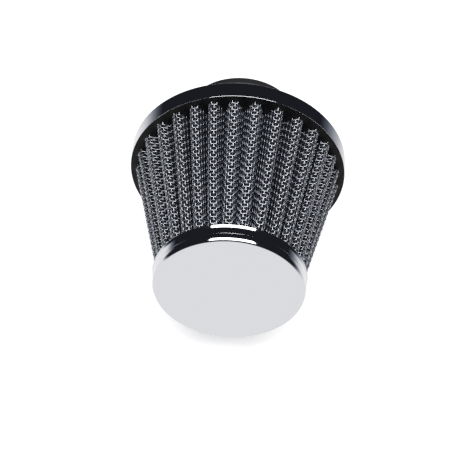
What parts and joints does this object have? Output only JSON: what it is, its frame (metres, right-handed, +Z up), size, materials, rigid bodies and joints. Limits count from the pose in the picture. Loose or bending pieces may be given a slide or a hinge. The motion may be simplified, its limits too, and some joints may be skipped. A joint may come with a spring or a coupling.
{
  "type": "air filter",
  "caption": "Cone-shaped clamp-on air filter with pleated wire-screened media, chromed cap and rim, and a rubber neck held by a hose clamp.",
  "frame": {"origin": "centre of the neck's mouth, where the carburettor spigot goes in", "axes": "+Y along the filter's axis, out of the neck's mouth and away from the cap; +Z up, with the clamp's screw housing hanging at -Z; +X completes the right-handed frame and points to the screw's head"},
  "size_m": [0.08, 0.0867, 0.08],
  "materials": {
    "chrome": "polished bright chrome plate",
    "zinc_steel": "bright zinc-plated strip steel",
    "wire": "woven wire, bright",
    "gauze": "dyed cotton gauze",
    "rubber": "moulded satin black rubber",
    "potting": "cast black polyurethane"
  },
  "bodies": {
    "filter": {"end_cap": "chrome", "end_cap_potting": "potting", "outer_wire_screen": "wire", "gauze_layer_1": "gauze", "gauze_layer_2": "gauze", "gauze_layer_3": "gauze", "gauze_layer_4": "gauze", "inner_wire_screen": "wire", "base_rim": "chrome", "base_potting": "potting", "rubber_base": "rubber"},
    "clamp": {"clamp_band": "zinc_steel", "clamp_housing": "zinc_steel"},
    "screw": {"clamp_screw": "zinc_steel"},
    "tail": {"clamp_band_tail": "zinc_steel"}
  },
  "joints": [
    {"name": "clamp_swivel", "type": "hinge", "parent": "filter", "child": "clamp", "pos_m": [0, -0.0093, 0], "axis": [0, 1, 0], "continuous": true},
    {"name": "screw_turn", "type": "hinge", "parent": "clamp", "child": "screw", "pos_m": [0, -0.0093, -0.02545], "axis": [-1, 0, 0], "range_deg": [-720, 1080]},
    {"name": "band_slide", "type": "hinge", "parent": "clamp", "child": "tail", "pos_m": [0, -0.0093, 0], "axis": [0, -1, 0], "range_deg": [-13.08, 19.62]}
  ],
  "couplings": [
    {"joint": "screw_turn", "follows": "band_slide", "ratio": 55.041}
  ]
}
